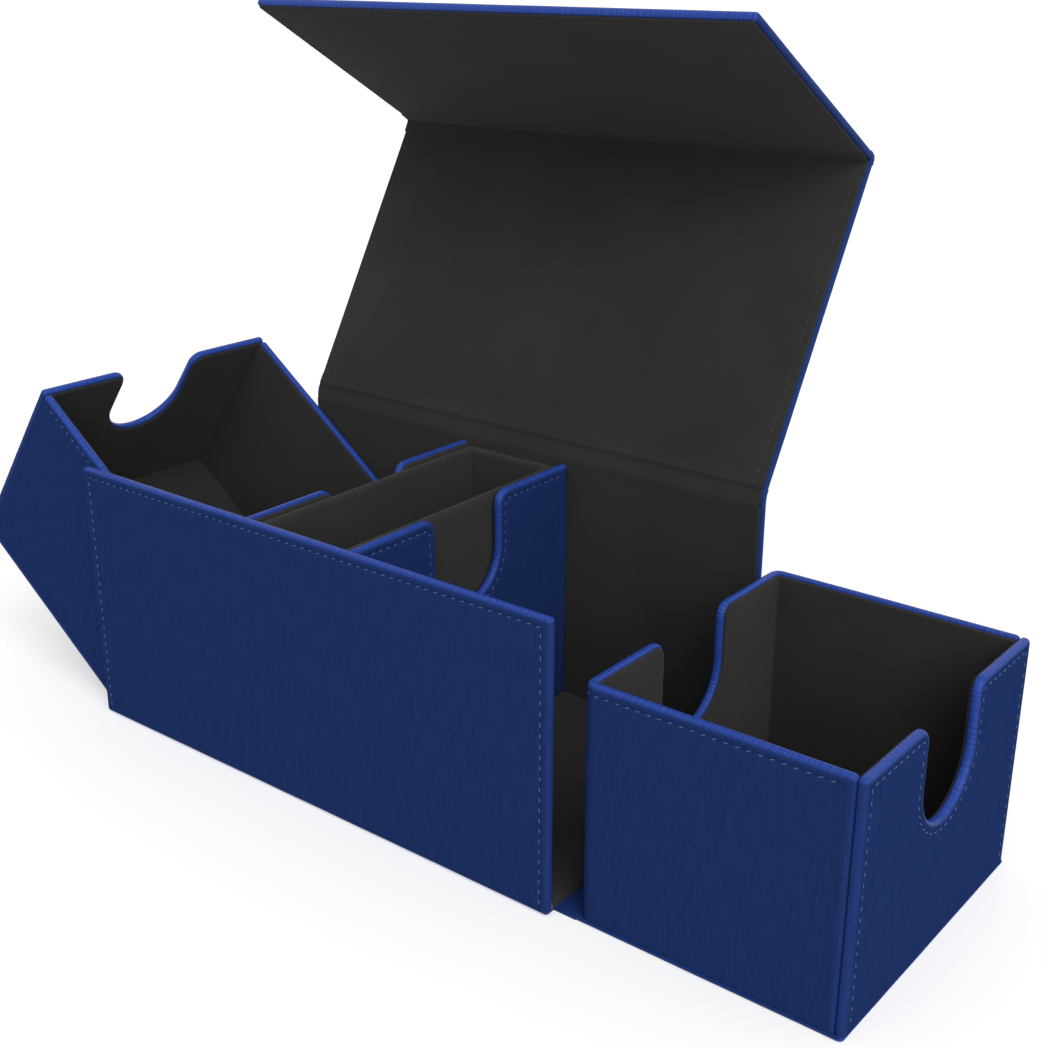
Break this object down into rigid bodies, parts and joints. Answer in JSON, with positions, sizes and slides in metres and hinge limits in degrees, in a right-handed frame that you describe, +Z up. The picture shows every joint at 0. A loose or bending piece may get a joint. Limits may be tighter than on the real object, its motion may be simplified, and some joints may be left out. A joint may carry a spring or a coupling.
{
  "type": "playing card box",
  "caption": "Leatherette card box with a fold-back lid and front flap, a card tray that folds out of each end and a lift-out accessory tray between notched partitions.",
  "frame": {"origin": "middle of the case's underside, on the surface that it stands on", "axes": "+X along the box towards the right-hand tray, +Y from the front wall to the back wall, +Z up"},
  "size_m": [0.3616, 0.1704, 0.2406],
  "materials": {
    "leatherette": "satin navy blue synthetic leather with a fine grain",
    "board": "bare grey pressed board, dense as soft wood",
    "suedette": "matt black suede-like cloth",
    "magnet": "nickel-plated square magnet"
  },
  "bodies": {
    "case": {"front_wall_cover": "leatherette", "front_wall_board": "board", "front_wall_lining": "suedette", "front_wall_magnets": "magnet", "back_wall_cover": "leatherette", "back_wall_board": "board", "back_wall_lining": "suedette", "back_wall_magnets": "magnet", "floor_cover": "leatherette", "floor_board": "board", "floor_lining": "suedette", "left_partition_cover": "leatherette", "left_partition_board": "board", "left_partition_lining": "suedette", "right_partition_cover": "leatherette", "right_partition_board": "board", "right_partition_lining": "suedette", "lid_hinge_strip": "leatherette", "lid_hinge_lining": "suedette"},
    "lid": {"lid_cover": "leatherette", "lid_board": "board", "lid_lining": "suedette", "flap_fold_strip": "leatherette"},
    "lid_flap": {"flap_cover": "leatherette", "flap_board": "board", "flap_lining": "suedette", "flap_magnets": "magnet"},
    "left_tray": {"left_tray_hinge_strip": "leatherette", "left_tray_base_cover": "leatherette", "left_tray_base_board": "board", "left_tray_base_lining": "suedette", "left_tray_wall_cover": "leatherette", "left_tray_wall_boards": "board", "left_tray_wall_lining": "suedette", "left_tray_magnets": "magnet", "left_tray_end_cover": "leatherette", "left_tray_end_board": "board", "left_tray_end_lining": "suedette"},
    "right_tray": {"right_tray_hinge_strip": "leatherette", "right_tray_base_cover": "leatherette", "right_tray_base_board": "board", "right_tray_base_lining": "suedette", "right_tray_wall_cover": "leatherette", "right_tray_wall_boards": "board", "right_tray_wall_lining": "suedette", "right_tray_magnets": "magnet", "right_tray_end_cover": "leatherette", "right_tray_end_board": "board", "right_tray_end_lining": "suedette"},
    "accessory_tray": {"accessory_tray_boards": "board", "accessory_tray_cover": "suedette", "accessory_tray_lining": "suedette"}
  },
  "joints": [
    {"name": "lid_hinge", "type": "hinge", "parent": "case", "child": "lid", "pos_m": [0, 0.0553, 0.0953], "axis": [-1, 0, 0], "range_deg": [-120, 60], "deforming": ["lid_hinge_strip"]},
    {"name": "flap_hinge", "type": "hinge", "parent": "lid", "child": "lid_flap", "pos_m": [0, 0.1127, 0.19472], "axis": [-1, 0, 0], "range_deg": [0, 90], "deforming": ["flap_fold_strip"]},
    {"name": "left_tray_hinge", "type": "hinge", "parent": "case", "child": "left_tray", "pos_m": [-0.0996, 0, 0.0004], "axis": [0, -1, 0], "range_deg": [-53.2, 36.8]},
    {"name": "right_tray_hinge", "type": "hinge", "parent": "case", "child": "right_tray", "pos_m": [0.0996, 0, 0.0004], "axis": [0, 1, 0], "range_deg": [-90, 0]},
    {"name": "accessory_tray_lift", "type": "slide", "parent": "case", "child": "accessory_tray", "axis": [0, 0, 1], "range_m": [0, 0.09]}
  ]
}
